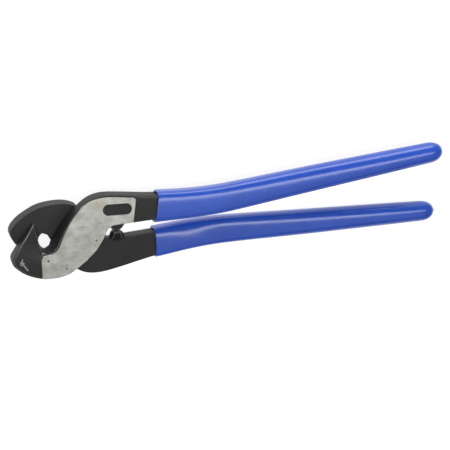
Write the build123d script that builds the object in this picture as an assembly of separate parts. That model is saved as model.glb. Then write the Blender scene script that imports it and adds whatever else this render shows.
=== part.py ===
from build123d import *
import os

# Hand cable cutter: two forged levers lapped on one rivet, each with a dipped vinyl grip.
# The tool lies on its back. +X runs from the pivot to the grips, +Y is the side of the
# front lever's grip, +Z is up. The origin is on the pivot axis, on the back pad's face.
# Each half is drawn with its mating plane at z = 0 and its outer face upward.

# Driving dimensions, mm
LEVER_T = 9.5             # thickness of each forged lever
PAD_H = 0.7               # height of the ground pad above the forging
LAP_GAP = 0.1             # gap between the two levers at the lap
EDGE_R = 1.3              # rounding of the forged outer edges
PAD_BREAK = 0.2           # edge break round the ground pad
RIVET_R = 5.5             # rivet shank radius
RIVET_HEAD_R = 6.9        # radius of the flush rivet head
RIVET_HEAD_H = 1.6        # depth of the countersunk head
RIVET_GAP = 0.05          # radial running clearance in the front lever
NOSE_LENGTH = 17.0        # length over which the nose thins towards its tip
NOSE_DROP = 7.8           # how much thinner its tip is than the forging
RECESS_R = 2.85           # half width of the oblong recess
RECESS_LENGTH = 9.0       # distance between the centres of its round ends
RECESS_DEPTH = 0.5
LUG_TIP_W = 3.6           # width of a stop lug where the two lugs meet
LUG_X = 19.2              # distance of the lugs from the pivot
LUG_FOOT = 5.6            # distance from the tool's centre line to the foot of a lug's slope
LUG_REACH = 3.0           # how far a lug passes the mating plane
LUG_DEPTH = 3.2           # how far it reaches on its own side of that plane
LUG_GAP = 0.15            # gap between the lugs when the jaws are closed
GRIP_START = 40.2         # distance from the pivot to the grip's open end
TANG_WALL = 1.7           # vinyl thickness over the tang's narrow sides
TANG_END = 198.0

MATING_Z = LEVER_T + PAD_H + LAP_GAP / 2

os.makedirs("parts", exist_ok=True)


# Each half: the ground pad's edge along the jaw and along the throat wall, the jaw's curved
# outer edge from the notch at the nose round to the boss, the flank up to the shank, the crown
# of the boss, and the end of the throat wall at the mating plane and at the outer face
FRONT = {
    "pad_jaw": [(-7.7, -16.1), (-11.5, -17.0), (-16.5, -17.2), (-21.6, -16.5)],
    "pad_wall": [(-4.5, 10.1), (-0.9, 14.1), (2.9, 17.4), (6.0, 18.9)],
    "jaw": [
        (-31.6, -0.4), (-33.2, -2.5), (-34.8, -5.4), (-34.5, -8.0), (-33.0, -10.0), (-30.4, -12.6),
        (-27.0, -14.8), (-22.5, -16.7), (-16.5, -17.6), (-11.5, -17.5), (-7.5, -16.6), (-4.0, -14.7),
    ],
    "flank": [(1.4, -11.1), (6.9, -6.5), (11.0, -1.0), (13.6, 3.2)],
    "crown": [(13.5, 20.8), (9.0, 20.4), (5.4, 19.2), (2.6, 17.5)],
    "wall_low": [(-5.7, 10.7), (-2.2, 14.0), (2.4, 17.4)],
    "wall_high": [(-4.7, 10.2), (-1.0, 14.2), (3.0, 17.4)],
}
REAR = {
    "pad_jaw": [(-7.7, -16.1), (-14.0, -17.2), (-20.9, -15.7)],
    "pad_wall": [(-6.5, 9.9), (-4.5, 13.9), (-1.6, 17.3), (3.2, 19.4)],
    "jaw": [
        (-31.6, -0.4), (-32.7, -2.6), (-33.6, -6.0), (-32.8, -8.2), (-31.0, -10.3), (-28.2, -12.6),
        (-24.6, -14.6), (-20.2, -16.6), (-15.5, -17.7), (-10.5, -18.0), (-5.0, -17.5), (0.6, -15.2),
    ],
    "flank": [(4.2, -10.4), (8.2, -6.2), (11.5, -1.0), (13.7, 3.2)],
    "crown": [(13.5, 21.0), (8.5, 21.3), (3.5, 20.7), (0.0, 19.4), (-2.6, 17.6)],
    "wall_low": [(-7.6, 10.9), (-6.0, 14.0), (-3.2, 18.0)],
    "wall_high": [(-6.8, 10.4), (-4.9, 14.3), (-2.2, 17.6)],
}
NOSE_TIP = (-21.5, 10.2)
# The shank's lower and upper edges
SHANK_LOW = [(16.5, 4.9), (24.0, 4.75), (33.0, 4.5), (42.0, 4.3)]
SHANK_TOP = [(42.0, 16.9), (33.0, 18.0), (27.0, 19.0), (20.0, 20.1)]
# The throat at the mating plane (the cutting edge) and at the outer face
THROAT_LOW = [
    (-21.5, 10.4), (-21.0, 6.3), (-20.3, 2.6), (-20.3, 0.0), (-19.6, -2.2), (-18.0, -3.7), (-15.5, -2.5),
    (-14.4, 0.0), (-12.2, 3.1), (-9.4, 6.7),
]
THROAT_HIGH = [
    (-22.9, 10.4), (-22.2, 6.3), (-21.4, 2.3), (-21.0, -0.5), (-20.0, -3.2), (-17.6, -4.7), (-14.7, -4.2),
    (-12.2, -1.8), (-10.1, 1.9), (-8.2, 5.2),
]
# The ground pad's boundary, from the throat up the S-shaped wall and round
PAD_WALL = [(-15.1, -4.8), (-12.2, -2.4), (-9.9, 1.6), (-8.0, 5.0)]
PAD_TOP = [(9.5, 19.6), (13.5, 19.8), (20.0, 19.0), (27.6, 17.8)]
PAD_RIGHT = [(28.9, 16.8), (26.5, 5.1)]
PAD_LOW = [(16.2, 5.2), (13.2, 3.6), (10.6, -1.0), (6.6, -6.2), (1.2, -10.7), (-4.2, -14.2)]
PAD_LEFT = [(-21.0, -6.6), (-19.8, -5.1), (-18.2, -4.9)]
# Grip centre line and section sizes: x, y, width in the plane, thickness, corner radius
GRIP_SECTIONS = [
    (40.2, 10.7, 15.9, 11.9, 3.6), (46.0, 10.2, 15.6, 11.9, 3.7), (53.0, 9.85, 15.3, 11.9, 3.8),
    (59.0, 9.6, 15.1, 11.9, 3.9), (64.5, 9.5, 14.9, 11.9, 4.0), (70.0, 9.5, 14.8, 11.9, 4.1),
    (75.5, 9.65, 14.7, 11.9, 4.2), (81.0, 9.95, 14.6, 11.9, 4.4), (87.0, 10.35, 14.5, 11.9, 4.6),
    (98.0, 11.15, 14.3, 11.9, 4.9), (110.0, 12.0, 14.1, 11.9, 5.1), (133.0, 13.6, 13.6, 11.9, 5.4),
    (157.5, 15.2, 12.9, 11.8, 5.6), (182.0, 16.85, 12.1, 11.6, 5.6), (193.0, 17.6, 11.7, 11.3, 5.5),
    (198.5, 17.95, 10.9, 10.6, 5.2), (202.0, 18.15, 9.4, 9.2, 4.5), (204.2, 18.25, 7.0, 6.9, 3.4),
    (205.4, 18.35, 3.8, 3.8, 1.8),
]


def prism(points, low, high):
    # A straight-sided outline raised between two heights
    return Pos(0, 0, low) * extrude(make_face(Polyline(points, close=True)), high - low)


def straight_edges(points):
    return [Line(first, second) for first, second in zip(points, points[1:])]


def lever_outline(half):
    # Straight nose flank, smooth jaw, straight flank, smooth shank and crown of the boss
    jaw = half["jaw"]
    top = SHANK_TOP + half["crown"]
    beyond = (top[-1][0] - 8.0, 17.0)
    edges = [
        Line(NOSE_TIP, jaw[0]),
        Spline(jaw),
        Line(jaw[-1], half["flank"][0]),
        Spline(half["flank"] + SHANK_LOW),
        Line(SHANK_LOW[-1], SHANK_TOP[0]),
        Spline(top),
        Line(top[-1], beyond),
        Line(beyond, NOSE_TIP),
    ]
    return make_face(Wire(edges))


def throat_cutter(half):
    # The throat leans outward from the cutting edge to the outer face, so the edge is sharp
    end_x = half["wall_low"][-1][0]
    outside = [(end_x - 1.0, 30.0), (-28.0, 30.0)]
    mouth_low = THROAT_LOW + half["wall_low"] + outside
    mouth_high = THROAT_HIGH + half["wall_high"] + outside
    lower = make_face(Polyline(mouth_low, close=True))
    upper = Pos(0, 0, LEVER_T + 1) * make_face(Polyline(mouth_high, close=True))
    straight = prism(mouth_low, -1, 0.001)
    return straight + loft([lower, upper], ruled=True)


def nose_cutter():
    # A cut that bends down from the forged face, tangent to it, to a blunt point at the nose
    along = Vector(0.56, 0.83).normalized()
    start = Vector(*NOSE_TIP) - along * NOSE_LENGTH
    side = Plane(
        origin=(start.X, start.Y, LEVER_T), x_dir=(along.X, along.Y, 0), z_dir=(along.Y, -along.X, 0)
    )
    tip = (NOSE_LENGTH, -NOSE_DROP)
    profile = [TangentArc((0, 0), tip, tangent=(1, 0))]
    profile = profile + straight_edges([tip, (30, -NOSE_DROP), (30, 12), (0, 12), (0, 0)])
    # The cut stays clear of the throat's far wall
    return side * Pos(0, 0, -18) * extrude(make_face(Wire(profile)), 27)


def ground_pad(half):
    # The pad stands proud of the forging and is ground flat
    outline = [
        Spline(PAD_WALL + half["pad_wall"] + PAD_TOP),
        Spline(half["pad_jaw"]),
    ]
    outline = outline + straight_edges([PAD_TOP[-1]] + PAD_RIGHT + PAD_LOW + half["pad_jaw"][:1])
    outline = outline + straight_edges(half["pad_jaw"][-1:] + PAD_LEFT + PAD_WALL[:1])
    pad = Pos(0, 0, LEVER_T - 1) * extrude(make_face(Wire(outline)), PAD_H + 1)
    pad = chamfer(pad.faces().sort_by(Axis.Z)[-1].edges(), PAD_BREAK)
    recess = Pos(18.95, 13.0, LEVER_T + PAD_H - RECESS_DEPTH) * Rot(0, 0, -4) * extrude(
        SlotCenterToCenter(RECESS_LENGTH, 2 * RECESS_R), 2
    )
    return pad - recess


def stop_lug():
    # The lug hangs from the shank's lower edge to just short of the tool's centre line. It
    # passes the mating plane to meet the other lug end to end, and slopes back to the shank
    tip = LUG_GAP / 2
    left = LUG_X - LUG_TIP_W / 2
    right = LUG_X + LUG_TIP_W / 2
    root = [
        (left, tip), (right, tip), (right + 2.4, 2.6), (right + 4.0, 7.4), (left - 2.2, 7.4), (left - 1.6, 2.4)
    ]
    reach = [(left, tip), (right, tip), (right + 1.4, LUG_FOOT), (left - 1.0, LUG_FOOT)]
    slope = [(tip, 0), (tip, -LUG_REACH), (1.2, -LUG_REACH), (LUG_FOOT, 0)]
    side = Plane(origin=(LUG_X - 8, 0, 0), x_dir=(0, 1, 0), z_dir=(1, 0, 0))
    wedge = extrude(side * make_face(Polyline(slope, close=True)), 16)
    return prism(root, 0, LUG_DEPTH) + (prism(reach, -LUG_REACH, 0) & wedge)


def tang():
    # The forging runs on inside the grip as a tapering bar
    sections = []
    for x, y, width, _, _ in GRIP_SECTIONS[:14]:
        cut = Plane(origin=(x, y, LEVER_T / 2), x_dir=(0, 1, 0), z_dir=(1, 0, 0))
        deep = LEVER_T - 0.012 * (x - GRIP_START)
        sections.append(cut * RectangleRounded(width - 2 * TANG_WALL, deep, 1.6))
    end = Plane(origin=(TANG_END, 17.9, LEVER_T / 2), x_dir=(0, 1, 0), z_dir=(1, 0, 0))
    sections.append(end * RectangleRounded(6.4, 6.4, 1.6))
    return loft(sections, ruled=True)


def forged_lever(half):
    body = extrude(lever_outline(half), LEVER_T)
    crown_end = half["crown"][-1][0]
    rim = body.faces().sort_by(Axis.Z)[-1].edges()
    rim = rim.filter_by(lambda edge: edge.center().X < GRIP_START)
    rim = rim.filter_by(lambda edge: not (edge.center().Y > 10 and edge.center().X < crown_end))
    body = fillet(rim, EDGE_R)
    body = body - throat_cutter(half) - nose_cutter()
    return body + ground_pad(half) + tang() + stop_lug()


def grip():
    sections = []
    for x, y, width, thick, radius in GRIP_SECTIONS:
        cut = Plane(origin=(x, y, LEVER_T / 2), x_dir=(0, 1, 0), z_dir=(1, 0, 0))
        sections.append(cut * RectangleRounded(width, thick, radius))
    return loft(sections, ruled=True)


def rivet():
    # One solid rivet whose countersunk heads finish flush with both ground pads
    full = LEVER_T + PAD_H + LAP_GAP / 2
    shank = Cylinder(RIVET_R, 2 * full)
    for side in (1, -1):
        cone = Cone(RIVET_R, RIVET_HEAD_R, RIVET_HEAD_H)
        if side < 0:
            cone = Cone(RIVET_HEAD_R, RIVET_R, RIVET_HEAD_H)
        shank = shank + Pos(0, 0, side * (full - RIVET_HEAD_H / 2)) * cone
    return shank


def place_front(shape):
    return Pos(0, 0, MATING_Z + LAP_GAP / 2) * shape


def place_rear(shape):
    return Pos(0, 0, MATING_Z - LAP_GAP / 2) * Rot(180, 0, 0) * shape


rivet_solid = Pos(0, 0, MATING_Z) * rivet()
clearance = Pos(0, 0, MATING_Z) * Cylinder(RIVET_R + RIVET_GAP, 60)
head_gap = RIVET_GAP * 1.4
for_cone = Pos(0, 0, 2 * MATING_Z - RIVET_HEAD_H / 2) * Cone(
    RIVET_R + head_gap, RIVET_HEAD_R + head_gap, RIVET_HEAD_H
)

front_half = forged_lever(FRONT)
rear_half = forged_lever(REAR)
front_lever = place_front(front_half) - clearance - for_cone
rear_lever = place_rear(rear_half) - rivet_solid
upper_grip = place_front(grip() - front_half)
lower_grip = place_rear(grip() - rear_half)

pieces = {
    "front_lever": front_lever,
    "rear_lever": rear_lever,
    "pivot_rivet": rivet_solid,
    "upper_grip": upper_grip,
    "lower_grip": lower_grip,
}
for name, shape in pieces.items():
    solid = shape.solids().sort_by(SortBy.VOLUME)[-1]
    solid.label = name
    print(name, "solids", len(shape.solids()), "volume", round(solid.volume), "valid", solid.is_valid)
    export_step(solid, "parts/" + name + ".step")
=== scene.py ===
# %% [markdown]
# # A hand cable cutter with dipped grips
#
# The tool is two steel forgings lapped on one rivet. Each forging is blackened all over, and then
# one flat pad on its outer face is ground bright. The handles are dipped in liquid vinyl, which
# sets as a thick glossy blue skin. The levers, pads and rivet take their shapes from the CAD
# frame, and the grips follow its centre line and widths. This lesson rebuilds the forgings with
# softened edges, lifts the ground pads off as their own crisp pieces, makes the vinyl skins as
# lofts, and paints each of them from what it is made of.

# %% Load the frame and note its box
import math

import bmesh
import bpy
import numpy as np
from mathutils import Matrix, Vector


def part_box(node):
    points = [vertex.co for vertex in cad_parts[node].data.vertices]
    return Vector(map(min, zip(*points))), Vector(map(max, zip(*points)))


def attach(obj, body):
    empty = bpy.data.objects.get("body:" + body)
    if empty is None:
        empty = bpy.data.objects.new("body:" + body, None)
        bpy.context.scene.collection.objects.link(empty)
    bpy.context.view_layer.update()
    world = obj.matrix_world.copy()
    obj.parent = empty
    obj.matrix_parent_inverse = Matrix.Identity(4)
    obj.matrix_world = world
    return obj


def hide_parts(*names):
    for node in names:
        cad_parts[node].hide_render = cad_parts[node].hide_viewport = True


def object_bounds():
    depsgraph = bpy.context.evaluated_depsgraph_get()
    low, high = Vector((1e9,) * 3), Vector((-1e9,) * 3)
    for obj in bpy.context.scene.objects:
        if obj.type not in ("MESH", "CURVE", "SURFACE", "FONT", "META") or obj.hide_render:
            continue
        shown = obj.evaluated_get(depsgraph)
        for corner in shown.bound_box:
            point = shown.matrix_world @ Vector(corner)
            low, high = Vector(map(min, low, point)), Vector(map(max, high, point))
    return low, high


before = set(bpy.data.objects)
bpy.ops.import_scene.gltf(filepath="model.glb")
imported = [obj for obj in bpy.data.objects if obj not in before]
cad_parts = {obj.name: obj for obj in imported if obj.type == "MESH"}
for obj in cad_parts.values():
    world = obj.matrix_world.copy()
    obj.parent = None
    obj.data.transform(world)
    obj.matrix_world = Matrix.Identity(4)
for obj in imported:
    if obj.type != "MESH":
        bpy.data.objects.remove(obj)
cad_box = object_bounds()
MM = 0.001
print("CAD nodes:", sorted(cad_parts))

# %% [markdown]
# The two halves are drawn back to back across one mating plane. The rivet is flush with both
# ground faces, so its box in the frame gives their heights and, halfway between, the mating
# plane. The pieces made here then follow the CAD if a thickness changes.

# %% Heights measured from the frame
rivet_low, rivet_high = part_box("pivot_rivet")
MATING_Z = (rivet_low.z + rivet_high.z) / 2
PAD_HEIGHT = 0.7 * MM
PAD_BREAK = 0.2 * MM
RECESS_DEPTH = 0.5 * MM
LEVER_THICK = rivet_high.z - MATING_Z - PAD_HEIGHT
print("mating plane at", round(MATING_Z / MM, 2), "mm, lever", round(LEVER_THICK / MM, 2), "mm thick")


# %% [markdown]
# Both halves are the same kind of piece turned over, so each step below works in the half's own
# frame: the mating plane at zero, the outer face upward, the handle on the +Y side. Turning half a
# turn about X carries the rear half there and back.

# %% The half's own frame
def half_frame(rear):
    turn = Matrix.Rotation(math.pi if rear else 0, 4, "X")
    return Matrix.Translation((0, 0, MATING_Z)) @ turn


print("the rear half's outer face looks along Z =", round(half_frame(True)[2][2]))


# %% [markdown]
# Every piece made here has to move with a CAD body, so one helper makes the object, gives it
# its materials and attaches it to that body.

# %% An object that rides on a body
def mesh_object(name, mesh, body, slot_name, *materials):
    piece = bpy.data.objects.new(name, mesh)
    bpy.context.scene.collection.objects.link(piece)
    for material in materials:
        mesh.materials.append(material)
    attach(piece, body)
    return piece


# %% [markdown]
# ## Colours and nodes
#
# Paint makers give colours as screen hex values, but the renderer works in linear light, so one
# function converts them. A second small function adds a node with its settings and links. It is
# the only node helper, so each material below reads as a list of what is joined to what.

# %% Two helpers for materials
def linear(hex_colour):
    values = [int(hex_colour[i:i + 2], 16) / 255 for i in (1, 3, 5)]
    return [v / 12.92 if v <= 0.04045 else ((v + 0.055) / 1.055) ** 2.4 for v in values] + [1.0]


def add_node(material, kind, settings=None, stops=(), **inputs):
    """Adds a node. settings are its own properties, stops a ramp's places and colours, and the
    other words its sockets: by name, or by number after an underscore."""
    node = material.node_tree.nodes.new(kind)
    for key, value in (settings or {}).items():
        setattr(node, key, value)
    for element, (place, colour) in zip(node.color_ramp.elements if stops else (), stops):
        element.position, element.color = place, colour
    for key, value in inputs.items():
        socket = node.inputs[int(key[1:])] if key[0] == "_" else node.inputs[key.replace("_", " ")]
        if isinstance(value, bpy.types.NodeSocket):
            material.node_tree.links.new(value, socket)
        else:
            socket.default_value = value
    return node


def new_material(name):
    material = bpy.data.materials.new(name)
    material.use_nodes = True
    material.node_tree.nodes.clear()
    return material


print("plain mid grey #808080 is linear", round(linear("#808080")[0], 3))

# %% [markdown]
# ## Blackened forged steel
#
# Hot black oxide is a very thin, slightly oily conversion layer on a forging that was tumbled
# smooth. It reads as a soft satin dark grey, a little patchy, with the fine grain of the forging
# under it. The layer hides most of the metal, so it is only slightly metallic, and its highlights
# are broad, weak and nearly colourless. The grain is drawn at 0.6 mm, coarser than the real
# 0.1 mm, so that it shows. Where handling or a knock has taken the oxide off, a layer on the mesh
# lets the bare steel through. The same layer paints a pale line along the rounded edges, which is
# partly edge wear and partly a painted highlight.

# %% Material: black oxide on forged steel
# a mesh layer that paints bare steel on knocks and pale rounded edges; the pale edges are partly edge wear
# and partly a painted highlight
WEAR_AND_HIGHLIGHT_LAYER = "bare_metal_and_edge_highlight"
PATCH_SIZE = 100 / 9 * MM
GRAIN_SIZE = 0.6 * MM
GRAIN_HEIGHT = 0.05 * MM


def black_oxide_steel():
    steel = new_material("black_oxide_forged_steel")
    place = add_node(steel, "ShaderNodeTexCoord").outputs["Object"]
    patches = add_node(steel, "ShaderNodeTexNoise", Vector=place, Scale=1 / PATCH_SIZE, Detail=3.0).outputs[0]
    grain = add_node(steel, "ShaderNodeTexNoise", Vector=place, Scale=1 / GRAIN_SIZE, Detail=2.0).outputs[0]
    # pale where the mesh layer is high: knocks and worn edges, with a painted highlight along the rounded
    # edges
    bare_and_highlight = add_node(steel, "ShaderNodeAttribute", {"attribute_name": WEAR_AND_HIGHLIGHT_LAYER}).outputs["Fac"]
    black = add_node(
        steel, "ShaderNodeValToRGB", stops=[(0.3, linear("#0E0E0D")), (0.7, linear("#1A1A19"))], Fac=patches,
    ).outputs[0]
    tone = add_node(
        steel, "ShaderNodeMix", {"data_type": "RGBA"}, _0=bare_and_highlight, _6=black, _7=linear("#9C9C98"),
    ).outputs[2]
    metal = add_node(steel, "ShaderNodeMapRange", _0=bare_and_highlight, _3=0.16, _4=1.0).outputs[0]
    gloss = add_node(steel, "ShaderNodeMapRange", _0=grain, _1=0.3, _2=0.7, _3=0.50, _4=0.62).outputs[0]
    relief = add_node(steel, "ShaderNodeBump", Strength=0.2, Distance=GRAIN_HEIGHT, Height=grain).outputs[0]
    shader = add_node(
        steel, "ShaderNodeBsdfPrincipled",
        Base_Color=tone, Metallic=metal, Roughness=gloss, Specular_IOR_Level=0.36, Normal=relief,
    )
    add_node(steel, "ShaderNodeOutputMaterial", Surface=shader.outputs[0])
    return steel


OXIDE = black_oxide_steel()
print("made", OXIDE.name)

# %% [markdown]
# ## Ground steel
#
# The pads are finished on a surface grinder after blackening, so they are bare bright steel with
# fine straight scratches along the wheel's travel, which here is along the handle. They are drawn
# about 0.8 mm apart and 3.3 mm long, coarser than the marks of a real wheel, so that they show.
# Two layers are mixed so that no streak repeats. The Mapping node scales before it turns, so its
# turn doesn't aim the scratches: it only takes each layer from another part of the noise. A little
# warm staining sits in patches where oil has dried, and here and there a pore of the forging,
# under a millimetre wide, is open. The pores are not modelled as holes: each is painted as a flat
# dark dot, which stands for the black oxide left in the pit and for painted shade inside it.

# %% Material: surface-ground steel
SCRATCH_SIZE = (10 / 3 * MM, 5 / 6 * MM, 50 / 3 * MM)
SCRATCH_HEIGHT = 0.03 * MM
# each layer's turn in the noise, in degrees, and its share of the mix
SCRATCH_LAYERS = [(-35, 0.65), (28, 0.35)]
CLOUD_SIZE = 5 * MM
CLOUD_SHARE = 0.5
STAIN_SIZE = 40 / 3 * MM
# places on each outer face and radii, in millimetres
FRONT_PORES = [
    ((-17.7, -7.9), 0.46), ((-9.2, -13.1), 0.40), ((-8.8, -11.4), 0.30), ((6.9, -1.1), 0.40),
]
REAR_PORES = [((-5.0, 8.0), 0.40), ((-11.0, 13.5), 0.35)]


def pore_places():
    for pores, height in ((FRONT_PORES, rivet_high.z), (REAR_PORES, rivet_low.z)):
        for (x, y), radius in pores:
            yield Vector((x * MM, y * MM, height)), radius * MM


def ground_steel():
    steel = new_material("surface_ground_steel")
    place = add_node(steel, "ShaderNodeTexCoord").outputs["Object"]
    scratches = 0.0
    for degrees, share in SCRATCH_LAYERS:
        along = add_node(
            steel, "ShaderNodeMapping", Vector=place,
            Rotation=(0, 0, math.radians(degrees)), Scale=[1 / size for size in SCRATCH_SIZE],
        ).outputs[0]
        marks = add_node(
            steel, "ShaderNodeTexNoise", Vector=along, Scale=1.0, Detail=3.0, Distortion=1.2,
        ).outputs[0]
        scratches = add_node(
            steel, "ShaderNodeMath", {"operation": "MULTIPLY_ADD"}, _0=marks, _1=share, _2=scratches,
        ).outputs[0]
    clouds = add_node(steel, "ShaderNodeTexNoise", Vector=place, Scale=1 / CLOUD_SIZE, Detail=4.0).outputs[0]
    stains = add_node(steel, "ShaderNodeTexNoise", Vector=place, Scale=1 / STAIN_SIZE, Detail=1.0).outputs[0]
    cloudy = add_node(
        steel, "ShaderNodeMath", {"operation": "MULTIPLY"}, _0=clouds, _1=CLOUD_SHARE,
    ).outputs[0]
    marked = add_node(
        steel, "ShaderNodeMath", {"operation": "MULTIPLY_ADD"}, _0=scratches, _1=1 - CLOUD_SHARE, _2=cloudy,
    ).outputs[0]
    metal = add_node(
        steel, "ShaderNodeValToRGB", stops=[(0.39, linear("#81827D")), (0.61, linear("#9D9E99"))], Fac=marked,
    ).outputs[0]
    warm = add_node(steel, "ShaderNodeMapRange", _0=stains, _1=0.56, _2=0.75, _3=0.0, _4=0.6).outputs[0]
    tarnished = add_node(
        steel, "ShaderNodeMix", {"data_type": "RGBA"}, _0=warm, _6=metal, _7=linear("#87806F"),
    ).outputs[2]
    # each pore is painted as a flat dark dot: the oxide left in the pit and painted shade inside it
    pit_oxide_and_shade = 0.0
    for middle, radius in pore_places():
        away = add_node(
            steel, "ShaderNodeVectorMath", {"operation": "DISTANCE"}, _0=place, _1=middle,
        ).outputs["Value"]
        hole = add_node(steel, "ShaderNodeMath", {"operation": "LESS_THAN"}, _0=away, _1=radius).outputs[0]
        pit_oxide_and_shade = add_node(steel, "ShaderNodeMath", {"operation": "MAXIMUM"}, _0=hole, _1=pit_oxide_and_shade).outputs[0]
    tone = add_node(
        steel, "ShaderNodeMix", {"data_type": "RGBA"}, _0=pit_oxide_and_shade, _6=tarnished, _7=linear("#1B1B1A"),
    ).outputs[2]
    gloss = add_node(steel, "ShaderNodeMapRange", _0=scratches, _1=0.3, _2=0.7, _3=0.36, _4=0.5).outputs[0]
    relief = add_node(
        steel, "ShaderNodeBump", Strength=0.35, Distance=SCRATCH_HEIGHT, Height=scratches,
    ).outputs[0]
    shader = add_node(
        steel, "ShaderNodeBsdfPrincipled",
        Base_Color=tone, Metallic=1.0, Roughness=gloss, Normal=relief,
    )
    add_node(steel, "ShaderNodeOutputMaterial", Surface=shader.outputs[0])
    return steel


GROUND = ground_steel()
print("made", GROUND.name, "with", len(list(pore_places())), "pores")

# %% [markdown]
# ## Dipped vinyl
#
# The grips are plastisol: the hot handle is dipped in liquid vinyl, which gels on it and sets with
# the smooth skin of a poured liquid. It is an even saturated blue with a clear soft gloss and a
# faint unevenness a few millimetres across, where the liquid ran before it set.

# %% Material: dipped plastisol vinyl
DRIFT_SIZE = 14 * MM
SKIN_SIZE = 3.5 * MM
SKIN_HEIGHT = 0.06 * MM


def dipped_vinyl():
    vinyl = new_material("dipped_blue_plastisol_vinyl")
    place = add_node(vinyl, "ShaderNodeTexCoord").outputs["Object"]
    drift = add_node(vinyl, "ShaderNodeTexNoise", Vector=place, Scale=1 / DRIFT_SIZE, Detail=2.0).outputs[0]
    skin = add_node(vinyl, "ShaderNodeTexNoise", Vector=place, Scale=1 / SKIN_SIZE, Detail=1.0).outputs[0]
    tone = add_node(
        vinyl, "ShaderNodeValToRGB", stops=[(0.3, linear("#1D44A4")), (0.7, linear("#224AAC"))], Fac=drift,
    ).outputs[0]
    gloss = add_node(vinyl, "ShaderNodeMapRange", _0=skin, _1=0.3, _2=0.7, _3=0.20, _4=0.25).outputs[0]
    relief = add_node(vinyl, "ShaderNodeBump", Strength=0.12, Distance=SKIN_HEIGHT, Height=skin).outputs[0]
    shader = add_node(
        vinyl, "ShaderNodeBsdfPrincipled",
        Base_Color=tone, Roughness=gloss, IOR=1.56, Normal=relief,
    )
    add_node(vinyl, "ShaderNodeOutputMaterial", Surface=shader.outputs[0])
    return vinyl


VINYL = dipped_vinyl()
print("made", VINYL.name)


# %% [markdown]
# ## The forgings
#
# A forging has no sharp edge except where it is ground to cut: its corners were rounded in the die
# and again in the tumbler. The CAD lever has the right faces but hard corners. A bevel would fail
# where many small faces meet, so the lever is wrapped in a fine voxel skin, and that skin is then
# relaxed a little. The ground pad is pressed back to the forged face first, because it is made
# crisp as its own piece. The mating face is relaxed less, so it stays nearly flat.

# %% Wrap and relax a CAD lever
VOXEL = 0.30 * MM
WELD_GAP = 0.001 * MM


def cad_half(node, rear):
    """The CAD node's mesh in its half's own frame, with its split corners joined again."""
    shape = bmesh.new()
    shape.from_mesh(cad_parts[node].data)
    shape.transform(half_frame(rear).inverted())
    bmesh.ops.remove_doubles(shape, verts=shape.verts, dist=WELD_GAP)
    return shape


def voxel_skin(name, shape):
    rough = bpy.data.meshes.new(name + "_rough")
    shape.to_mesh(rough)
    wrapped = bpy.data.objects.new(name + "_rough", rough)
    bpy.context.scene.collection.objects.link(wrapped)
    remesh = wrapped.modifiers.new("skin", "REMESH")
    remesh.mode = "VOXEL"
    remesh.voxel_size = VOXEL
    remesh.use_smooth_shade = True
    ready = wrapped.evaluated_get(bpy.context.evaluated_depsgraph_get())
    skin = bpy.data.meshes.new_from_object(ready)
    bpy.data.objects.remove(wrapped)
    bpy.data.meshes.remove(rough)
    return skin


def relax(points, edges, steps, strength):
    """Moves every point towards the middle of its neighbours, by its own strength from 0 to 1."""
    count = np.bincount(edges.ravel(), minlength=len(points))[:, None]
    for _ in range(steps):
        total = np.zeros_like(points)
        for axis in range(3):
            total[:, axis] += np.bincount(edges[:, 0], points[edges[:, 1], axis], len(points))
            total[:, axis] += np.bincount(edges[:, 1], points[edges[:, 0], axis], len(points))
        points += (total / np.maximum(count, 1) - points) * strength[:, None]
    return points


print("voxels are", round(VOXEL / MM, 2), "mm wide")


# %% [markdown]
# The stop lugs were forged with soft flanks, so the skin is relaxed further round them. What the
# relaxing takes off is also where hands and benches rub and where the rounded edges catch the
# light, so the same measure paints pale edges: partly edge wear and partly a painted highlight.
# The front jaw has a few knocks as well, each a short line that has lost its oxide.

# %% Soften a forging and paint its wear and edge highlight
# a share of 1 moves a point the whole way to the middle of its neighbours
RELAX_STEPS = 8
RELAX_SHARE = 0.6
LAP_SHARE = 0.25
LAP_DEPTH = 0.5 * MM
RIVET_ZONE = 8 * MM
LUG_MIDDLE = Vector((19.5, 2.5, 0.0)) * MM
LUG_ZONE = 7.5 * MM
LUG_STEPS = 32
LUG_FADE = 1.5
# how deep the relaxing must shave an edge before it is painted pale, and how pale: partly edge wear, partly a
# painted highlight
EDGE_WEAR_AND_HIGHLIGHT_STARTS = 0.03 * MM
EDGE_WEAR_AND_HIGHLIGHT_WHOLE = 0.22 * MM
EDGE_WEAR_AND_HIGHLIGHT_MOST = 0.75
# start, end and half width of each short line, in millimetres
KNOCKS = [
    ((-29.9, -5.3), (-30.2, -6.5), 0.34), ((-30.9, -6.7), (-29.4, -7.4), 0.36),
    ((-30.0, -7.6), (-27.9, -11.2), 0.30), ((-31.0, -7.5), (-30.5, -8.3), 0.28),
]
KNOCK_FADE = 1.6
KNOCKS_ABOVE = 5 * MM


def knock_depth(points, start, end, half_width):
    start, end = np.array(start) * MM, np.array(end) * MM
    run = end - start
    share = np.clip((points[:, :2] - start) @ run / (run @ run), 0, 1)
    away = np.hypot(*(points[:, :2] - start - share[:, None] * run).T)
    return np.clip(KNOCK_FADE - KNOCK_FADE * away / (half_width * MM), 0, 1)


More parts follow.
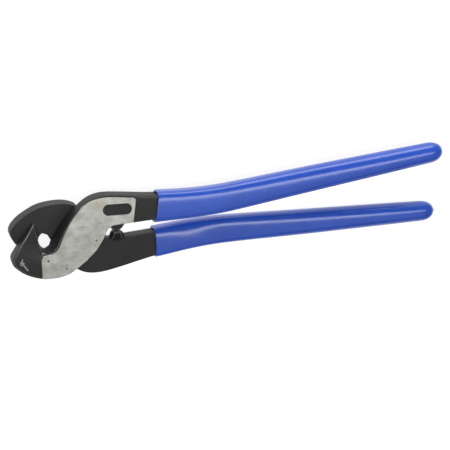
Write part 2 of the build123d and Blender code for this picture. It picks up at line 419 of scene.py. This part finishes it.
def forging(name, node, body, rear):
    skin = voxel_skin(name, cad_half(node, rear))
    points = np.empty(len(skin.vertices) * 3)
    skin.vertices.foreach_get("co", points)
    points = points.reshape(-1, 3)
    normals = np.empty(len(skin.vertices) * 3)
    skin.vertices.foreach_get("normal", normals)
    edges = np.empty(len(skin.edges) * 2, np.int64)
    skin.edges.foreach_get("vertices", edges)
    edges = edges.reshape(-1, 2)
    points[:, 2] = np.minimum(points[:, 2], LEVER_THICK)
    sharp = points.copy()
    near_lap = np.abs(points[:, 2]) < LAP_DEPTH
    near_rivet = np.hypot(points[:, 0], points[:, 1]) < RIVET_ZONE
    strength = np.where(near_lap, LAP_SHARE, RELAX_SHARE) * np.where(near_rivet, 0.0, 1.0)
    points = relax(points, edges, RELAX_STEPS, strength)
    shaved = ((sharp - points) * normals.reshape(-1, 3)).sum(axis=1)
    # pale edges painted where the skin was shaved: partly edge wear, partly a painted highlight
    bare_and_highlight = EDGE_WEAR_AND_HIGHLIGHT_MOST * np.clip((shaved - EDGE_WEAR_AND_HIGHLIGHT_STARTS) / (EDGE_WEAR_AND_HIGHLIGHT_WHOLE - EDGE_WEAR_AND_HIGHLIGHT_STARTS), 0, 1)
    from_lug = np.linalg.norm(points - np.array(LUG_MIDDLE), axis=1)
    lug_share = np.clip(LUG_FADE - LUG_FADE * from_lug / LUG_ZONE, 0, 1)
    points = relax(points, edges, LUG_STEPS, RELAX_SHARE * lug_share)
    if not rear:
        for knock in KNOCKS:
            bare_and_highlight = np.maximum(bare_and_highlight, knock_depth(points, *knock) * (points[:, 2] > KNOCKS_ABOVE))
    skin.vertices.foreach_set("co", points.ravel())
    skin.attributes.new(WEAR_AND_HIGHLIGHT_LAYER, "FLOAT", "POINT").data.foreach_set("value", bare_and_highlight)
    skin.transform(half_frame(rear))
    for face in skin.polygons:
        face.use_smooth = True
    piece = mesh_object(name, skin, body, "forged_steel", OXIDE)
    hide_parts(node)
    print(name, "has", len(skin.polygons), "faces, shaved up to", round(shaved.max() / MM, 2), "mm")


forging("front_forging", "front_lever", "front_half", rear=False)
forging("rear_forging", "rear_lever", "rear_half", rear=True)


# %% [markdown]
# ## The ground pads
#
# A ground face meets the blackened forging at a crisp line with only the smallest edge break, so
# here the CAD's own faces are better than any new ones. The faces near the top of each pad are
# kept, with the oblong recess, and their open edges are drawn down into the forging. The recess
# was below the grinding wheel's reach, so its walls and floor are still black.

# %% Lift a pad off its lever
RECESS_MIDDLE = Vector((18.95, 13.0)) * MM
RECESS_ALONG = Vector((math.cos(math.radians(4)), -math.sin(math.radians(4))))
RECESS_HALF = 4.5 * MM
RECESS_REACH = 2.95 * MM
SKIRT_DEPTH = 1.4 * MM
# a recess face is black once its middle is this far below the ground face
FLOOR_BELOW = 0.1 * MM
# room for rounding where a height is compared
FACE_SLACK = 0.01 * MM


def from_recess_line(point):
    """Distance from the line between the centres of the recess's two round ends."""
    away = point - RECESS_MIDDLE
    share = max(-RECESS_HALF, min(RECESS_HALF, away.dot(RECESS_ALONG)))
    return (away - RECESS_ALONG * share).length


def ground_pad(name, node, body, rear):
    shape = cad_half(node, rear)
    top = LEVER_THICK + PAD_HEIGHT
    break_z = top - PAD_BREAK - FACE_SLACK
    floor_z = top - RECESS_DEPTH - FACE_SLACK
    spare = []
    for face in shape.faces:
        lowest = min(v.co.z for v in face.verts)
        middle = face.calc_center_median()
        in_recess = from_recess_line(middle.xy) < RECESS_REACH and lowest > floor_z
        wall = lowest < break_z
        face.material_index = 1 if in_recess and (wall or middle.z < top - FLOOR_BELOW) else 0
        if (wall and not in_recess) or lowest < floor_z:
            spare.append(face)
    bmesh.ops.delete(shape, geom=spare, context="FACES")
    rim = [e for e in shape.edges if e.is_boundary]
    skirt = bmesh.ops.extrude_edge_only(shape, edges=rim)["geom"]
    for vertex in (g for g in skirt if isinstance(g, bmesh.types.BMVert)):
        vertex.co.z = top - SKIRT_DEPTH
    bmesh.ops.recalc_face_normals(shape, faces=shape.faces)
    shape.transform(half_frame(rear))
    mesh = bpy.data.meshes.new(name)
    shape.to_mesh(mesh)
    shape.free()
    mesh_object(name, mesh, body, "forged_steel", GROUND, OXIDE)
    print(name, "has", len(mesh.polygons), "faces")


ground_pad("front_ground_pad", "front_lever", "front_half", rear=False)
ground_pad("rear_ground_pad", "rear_lever", "rear_half", rear=True)

# %% [markdown]
# The rivet is peened into its countersinks and ground off with the pads, so only a faint ring
# shows. The CAD rivet already has that shape, and it only needs the ground finish.

# %% Finish the rivet
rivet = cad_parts["pivot_rivet"]
rivet.data.materials.clear()
rivet.data.materials.append(GROUND)
print("rivet head", round((rivet_high.x - rivet_low.x) / MM, 1), "mm across")


# %% [markdown]
# ## The dipped grips
#
# A dipped skin follows the tang under it: nearly rectangular and deep where the handle leaves the
# head, rounder and slimmer towards the end, and closed there by a soft dome. Its mouth ends in a
# thin rounded lip that sits back a little on the flat faces, where the liquid drew down. A loft of
# rounded sections along the handle's bent centre line gives all of that, and subdivision keeps it
# smooth.

# %% Grip stations along the handle, in millimetres
# distance from the pivot, centre, width in the plane, thickness, corner radius
GRIP_STATIONS = [
    (40.2, 10.7, 15.9, 11.9, 3.6), (53.0, 9.85, 15.3, 11.9, 3.8), (64.5, 9.5, 14.9, 11.9, 4.0),
    (75.5, 9.65, 14.7, 11.9, 4.2), (87.0, 10.35, 14.5, 11.9, 4.6), (110.0, 12.0, 14.1, 11.9, 5.1),
    (133.0, 13.6, 13.6, 11.9, 5.4), (157.5, 15.2, 12.9, 11.8, 5.6), (182.0, 16.85, 12.1, 11.6, 5.6),
    (205.5, 18.4, 11.2, 10.8, 5.3),
]
RING_POINTS = 48
SQUARENESS = 5.0
LEAST_FLAT = 0.01


def smooth_between(x, column):
    """A column of the stations at x, on a cubic curve that keeps its slope through each of them."""
    xs = np.array([s[0] for s in GRIP_STATIONS])
    ys = np.array([s[column] for s in GRIP_STATIONS])
    slopes = np.gradient(ys, xs)
    i = int(np.clip(np.searchsorted(xs, x) - 1, 0, len(xs) - 2))
    h = xs[i + 1] - xs[i]
    t = np.clip((x - xs[i]) / h, 0, 1)
    blend = (2 * t**3 - 3 * t**2 + 1, t**3 - 2 * t**2 + t, 3 * t**2 - 2 * t**3, t**3 - t**2)
    return blend[0] * ys[i] + blend[1] * h * slopes[i] + blend[2] * ys[i + 1] + blend[3] * h * slopes[i + 1]


def rounded_section(width, thick, radius):
    """Points round a superellipse: an oval at the largest radius, and squarer as it shrinks."""
    radius = min(radius, width / 2 - LEAST_FLAT, thick / 2 - LEAST_FLAT)
    power = 2 / (2 + SQUARENESS * (1 - 2 * radius / min(width, thick)))
    points = []
    for k in range(RING_POINTS):
        angle = 2 * math.pi * (k + 0.5) / RING_POINTS
        c, s = math.cos(angle), math.sin(angle)
        points.append((
            math.copysign(abs(c) ** power, c) * width / 2,
            math.copysign(abs(s) ** power, s) * thick / 2,
        ))
    return points


print("behind its mouth a grip is", round(smooth_between(53.0, 2), 1), "mm wide")

# %% [markdown]
# Each ring stands square to the centre line. The open end turns over a rounded lip and runs a
# short way back inside, against the tang. At the far end the rings shrink as a dome does. On the
# lower grip the vinyl slumped a little on the shoulder behind the mouth, so that shoulder is
# rounder there.

# %% Loft one grip
LIP_ROUND = 0.6
LIP_STEPS = 5
LIP_SETBACK = 0.4
# the two rings inside the lip: distance in, inset from the outer skin, share of the setback
LIP_INSIDE = [(5.0, -1.9, 0.0), (3.0, -1.2, 0.4)]
FLAT_INSET = 0.62
MOUTH_RUN = 5.0
FIRST_RING = 1.6
RING_GAP = 2.6
SLUMP_X = 57.0
SLUMP_RUN = 11.0
SLUMP_ACROSS = 0.3
DOME_LENGTH = 8.0
DOME_STEPS = 9
DOME_POWER = 0.85
GRIP_MIDDLE = LEVER_THICK / MM / 2


def grip_rings():
    """Rings from inside the mouth to the dome: distance, inset and share of the mouth's setback."""
    start, end = GRIP_STATIONS[0][0], GRIP_STATIONS[-1][0]
    rings = [(start + ahead, inset, share) for ahead, inset, share in LIP_INSIDE]
    for step in range(LIP_STEPS):
        angle = math.pi * (step + 0.5) / LIP_STEPS
        rings.append((start + LIP_ROUND * (1 - math.sin(angle)), -LIP_ROUND * (1 + math.cos(angle)), 1.0))
    for x in np.arange(start + FIRST_RING, end - DOME_LENGTH, RING_GAP):
        rings.append((x, 0.0, max(0.0, 1 - (x - start) / MOUTH_RUN)))
    return rings, end


def grip_ring(x, inset, setback, mouth, side, slump):
    """One ring. mouth shifts the lip along x: its first value all over, its second as a slant."""
    y = smooth_between(x, 1)
    lean = math.atan2(smooth_between(x + 0.5, 1) - smooth_between(x - 0.5, 1), 1.0)
    width, thick, radius = (smooth_between(x, column) for column in (2, 3, 4))
    outline = rounded_section(width + 2 * inset, thick + 2 * min(0, inset * FLAT_INSET), radius)
    sunk = slump * math.exp(-((x - SLUMP_X) / SLUMP_RUN) ** 2)
    ring = []
    for across, up in outline:
        share = across / (width / 2)
        if up * side > 0:
            up *= 1 - sunk * max(0, (side * share + SLUMP_ACROSS) / (1 + SLUMP_ACROSS)) ** 2
        drawn = setback * (LIP_SETBACK * (1 - share ** 2) + mouth[0] + mouth[1] * share)
        ring.append(Vector((
            x + drawn - across * math.sin(lean), y + across * math.cos(lean), GRIP_MIDDLE + up,
        )) * MM)
    return ring


def dome_rings(end):
    base = end - DOME_LENGTH
    rings = []
    lean = math.atan2(smooth_between(base, 1) - smooth_between(base - 2, 1), 2.0)
    outline = rounded_section(*(smooth_between(base, column) for column in (2, 3, 4)))
    for step in range(DOME_STEPS):
        angle = math.pi / 2 * step / DOME_STEPS
        x = base + DOME_LENGTH * math.sin(angle)
        shrink = math.cos(angle) ** DOME_POWER
        y = smooth_between(min(x, end), 1)
        rings.append([
            Vector((
                x - across * shrink * math.sin(lean),
                y + across * shrink * math.cos(lean),
                GRIP_MIDDLE + up * shrink,
            )) * MM
            for across, up in outline
        ])
    tip = Vector((end, smooth_between(end, 1), GRIP_MIDDLE)) * MM
    return rings, tip


print("a skin has", len(grip_rings()[0]), "rings before its dome")


# %% [markdown]
# As the last of the liquid ran off the lower grip's end it set as a small drip. The two grips also
# went into the bath at slightly different slants, so each mouth has its own line.

# %% The drip, and the whole skin
# each ring's distance past the dome and radius
DRIP_RINGS = [(0.15, 0.95), (0.6, 0.8), (0.95, 0.4)]
DRIP_TIP = 0.1


def drip_ring(tip, ahead, radius):
    turns = [2 * math.pi * (k + 0.5) / RING_POINTS for k in range(RING_POINTS)]
    return [tip + Vector((ahead, radius * math.cos(t), radius * math.sin(t))) * MM for t in turns]


def dipped_grip(name, node, body, rear, mouth, slump, drip):
    shape = bmesh.new()
    stations, end = grip_rings()
    side = -1 if rear else 1
    rings = [grip_ring(*station, mouth, side, slump) for station in stations]
    dome, tip = dome_rings(end)
    if drip:
        dome += [drip_ring(tip, *ring) for ring in DRIP_RINGS]
        tip = tip + Vector((DRIP_RINGS[-1][0] + DRIP_TIP, 0, 0)) * MM
    loops = [[shape.verts.new(p) for p in ring] for ring in rings + dome]
    for near, far in zip(loops, loops[1:]):
        for k in range(RING_POINTS):
            following = (k + 1) % RING_POINTS
            shape.faces.new((near[k], near[following], far[following], far[k]))
    peak = shape.verts.new(tip)
    for k in range(RING_POINTS):
        shape.faces.new((loops[-1][k], loops[-1][(k + 1) % RING_POINTS], peak))
    bmesh.ops.recalc_face_normals(shape, faces=shape.faces)
    shape.transform(half_frame(rear))
    for face in shape.faces:
        face.smooth = True
    mesh = bpy.data.meshes.new(name)
    shape.to_mesh(mesh)
    shape.free()
    piece = mesh_object(name, mesh, body, "blue_vinyl", VINYL)
    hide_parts(node)
    rounder = piece.modifiers.new("smooth skin", "SUBSURF")
    rounder.levels = 1
    rounder.render_levels = 1
    print(name, "has", len(loops), "rings")


dipped_grip(
    "upper_grip_skin", "upper_grip", "front_half",
    rear=False, mouth=(-1.3, 1.3), slump=0.0, drip=False,
)
dipped_grip(
    "lower_grip_skin", "lower_grip", "rear_half",
    rear=True, mouth=(-1.4, -0.7), slump=0.28, drip=True,
)

# %% [markdown]
# ## Floor, light and camera
#
# The tool lies on a light table: a sheet of opal acrylic lit from within, evenly white. Because it
# gives light itself it shows almost no shadow, and it throws light up onto the tool's sides. Seen
# from above it fills the view. In a low view its far edge shows against the dim grey room.

# %% The light table
TABLE_GLOW = 0.88
TABLE_GAP = 0.5 * MM
TABLE_HALF = 4.0
CLOUDING_SIZE = 1 / 12


def light_table():
    opal = new_material("lit_opal_acrylic_sheet")
    place = add_node(opal, "ShaderNodeTexCoord").outputs["Object"]
    clouding = add_node(opal, "ShaderNodeTexNoise", Vector=place, Scale=1 / CLOUDING_SIZE).outputs[0]
    tone = add_node(
        opal, "ShaderNodeValToRGB", stops=[(0.3, linear("#6C6C6C")), (0.7, linear("#747474"))], Fac=clouding,
    ).outputs[0]
    shader = add_node(
        opal, "ShaderNodeBsdfPrincipled",
        Base_Color=tone, Roughness=0.8, Emission_Color=(1, 1, 1, 1), Emission_Strength=TABLE_GLOW,
    )
    add_node(opal, "ShaderNodeOutputMaterial", Surface=shader.outputs[0])
    shape = bmesh.new()
    bmesh.ops.create_grid(shape, x_segments=8, y_segments=8, size=TABLE_HALF)
    mesh = bpy.data.meshes.new("floor")
    shape.to_mesh(mesh)
    shape.free()
    mesh.materials.append(opal)
    floor = bpy.data.objects.new("floor", mesh)
    floor.location.z = cad_box[0][2] - TABLE_GAP
    bpy.context.scene.collection.objects.link(floor)
    print("light table at", round(floor.location.z / MM, 2), "mm")


light_table()

# %% [markdown]
# Steel and vinyl show what surrounds them, so the lights are large: one long soft box overhead
# that runs along the handles and draws the bright line down each grip, one broad panel high in
# front, and one low panel on the grips' far side.

# %% Soft boxes
WORLD_LIGHT = 0.20


def soft_box(name, place, aim, size, watts):
    lamp = bpy.data.lights.new(name, "AREA")
    lamp.shape = "RECTANGLE"
    lamp.size, lamp.size_y = size
    lamp.energy = watts
    holder = bpy.data.objects.new(name, lamp)
    holder.location = place
    direction = Vector(aim) - Vector(place)
    holder.rotation_euler = direction.to_track_quat("-Z", "Y").to_euler()
    bpy.context.scene.collection.objects.link(holder)


soft_box("long_overhead_box", place=(0.08, 0.03, 0.65), aim=(0.08, 0.0, 0.0), size=(1.1, 0.17), watts=3.6)
soft_box("front_ceiling_panel", place=(0.05, -0.45, 0.85), aim=(0.08, 0.0, 0.0), size=(1.6, 0.9), watts=2.4)
soft_box("far_side_panel", place=(0.10, 0.90, 0.24), aim=(0.08, 0.0, 0.02), size=(1.4, 0.42), watts=9.0)

world = bpy.data.worlds.new("white_room")
world.use_nodes = True
bpy.context.scene.world = world
world.node_tree.nodes["Background"].inputs[0].default_value = (1, 1, 1, 1)
world.node_tree.nodes["Background"].inputs[1].default_value = WORLD_LIGHT
bpy.context.scene.view_settings.view_transform = "Standard"

# %% [markdown]
# The camera looks down from beyond the jaws and a little from the front lever's side, close enough
# for the jaws to look larger than the grips. It leans so that the handles rise to the right.

# %% Camera
CAMERA_PLACE = Vector((-68.4, 128.8, 460.3)) * MM
CAMERA_AIM = Vector((77.6, -6.65, 10.25)) * MM
CAMERA_LENS = 74.3
CAMERA_ROLL = math.radians(3.85)

camera = bpy.data.objects.new("camera", bpy.data.cameras.new("camera"))
bpy.context.scene.collection.objects.link(camera)
back = (CAMERA_PLACE - CAMERA_AIM).normalized()
right = Vector((0, 1, 0)).cross(back).normalized()
turned = Matrix((right, back.cross(right), back)).transposed() @ Matrix.Rotation(-CAMERA_ROLL, 3, "Z")
camera.matrix_world = Matrix.Translation(CAMERA_PLACE) @ turned.to_4x4()
camera.data.lens = CAMERA_LENS
camera.data.clip_start = 0.01
bpy.context.scene.camera = camera
print("camera stands", round((CAMERA_PLACE - CAMERA_AIM).length, 3), "m from its aim")
